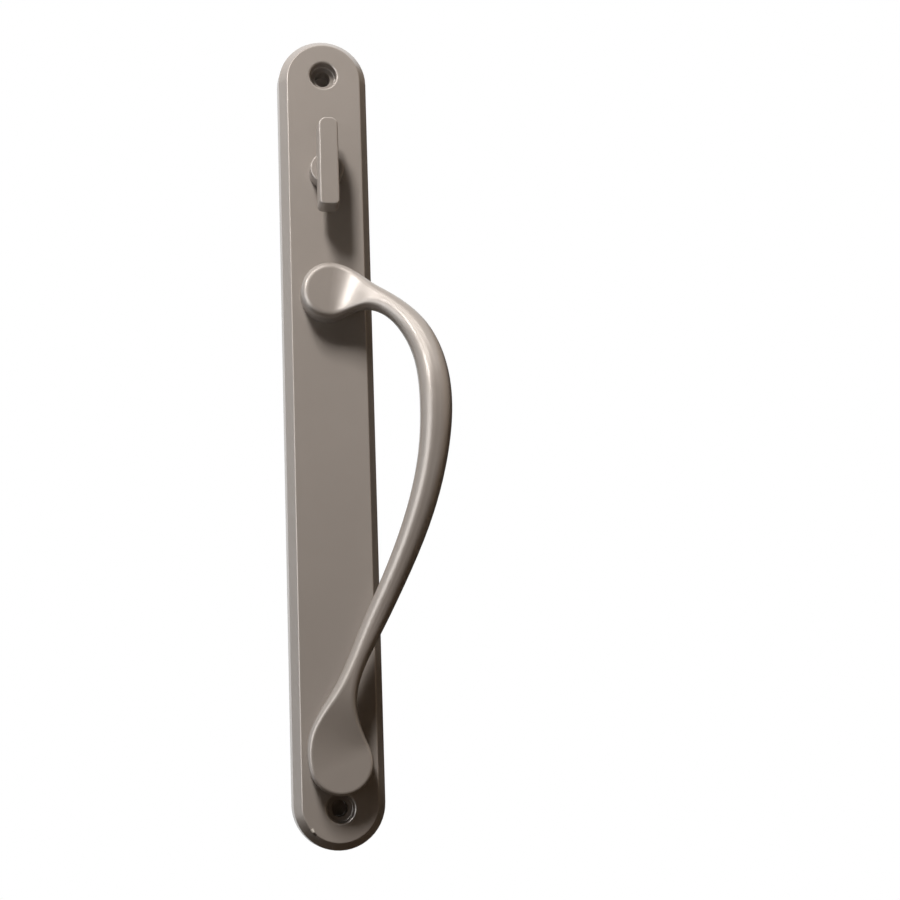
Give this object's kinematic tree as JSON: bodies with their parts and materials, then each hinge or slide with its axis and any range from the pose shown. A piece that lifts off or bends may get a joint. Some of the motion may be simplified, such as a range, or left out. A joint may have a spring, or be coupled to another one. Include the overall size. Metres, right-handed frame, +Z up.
{
  "type": "sliding patio door handle",
  "caption": "Inside handle of a sliding patio door: long bevelled plate with round ends, a bowed pull with a knob foot and a teardrop foot, and a thumbturn that works the lock.",
  "frame": {"origin": "centre of the plate's back, on the door's surface, midway between the two screw holes", "axes": "+X to the side that the pull bows to, +Y into the door, +Z up along the plate"},
  "size_m": [0.051, 0.071, 0.27],
  "materials": {
    "painted_casting": "satin warm grey paint on a zinc die-casting",
    "plated_steel": "bright zinc plating",
    "spring_steel": "dark oiled spring steel",
    "bush_plastic": "natural acetal"
  },
  "bodies": {
    "plate": {"escutcheon_plate": "painted_casting", "pull_handle": "painted_casting", "upper_pull_screw": "plated_steel", "lower_pull_screw": "plated_steel", "upper_spring_washer": "spring_steel", "lower_spring_washer": "spring_steel", "thumbturn_bush": "bush_plastic", "disc_spring": "spring_steel"},
    "thumbturn": {"thumbturn": "painted_casting", "thrust_washer": "plated_steel", "retaining_ring": "spring_steel", "tailpiece": "plated_steel", "tailpiece_pin": "plated_steel"}
  },
  "joints": [
    {"name": "thumbturn_turn", "type": "hinge", "parent": "plate", "child": "thumbturn", "pos_m": [0, 0, 0.087], "axis": [0, 1, 0], "range_deg": [0, 90]}
  ]
}
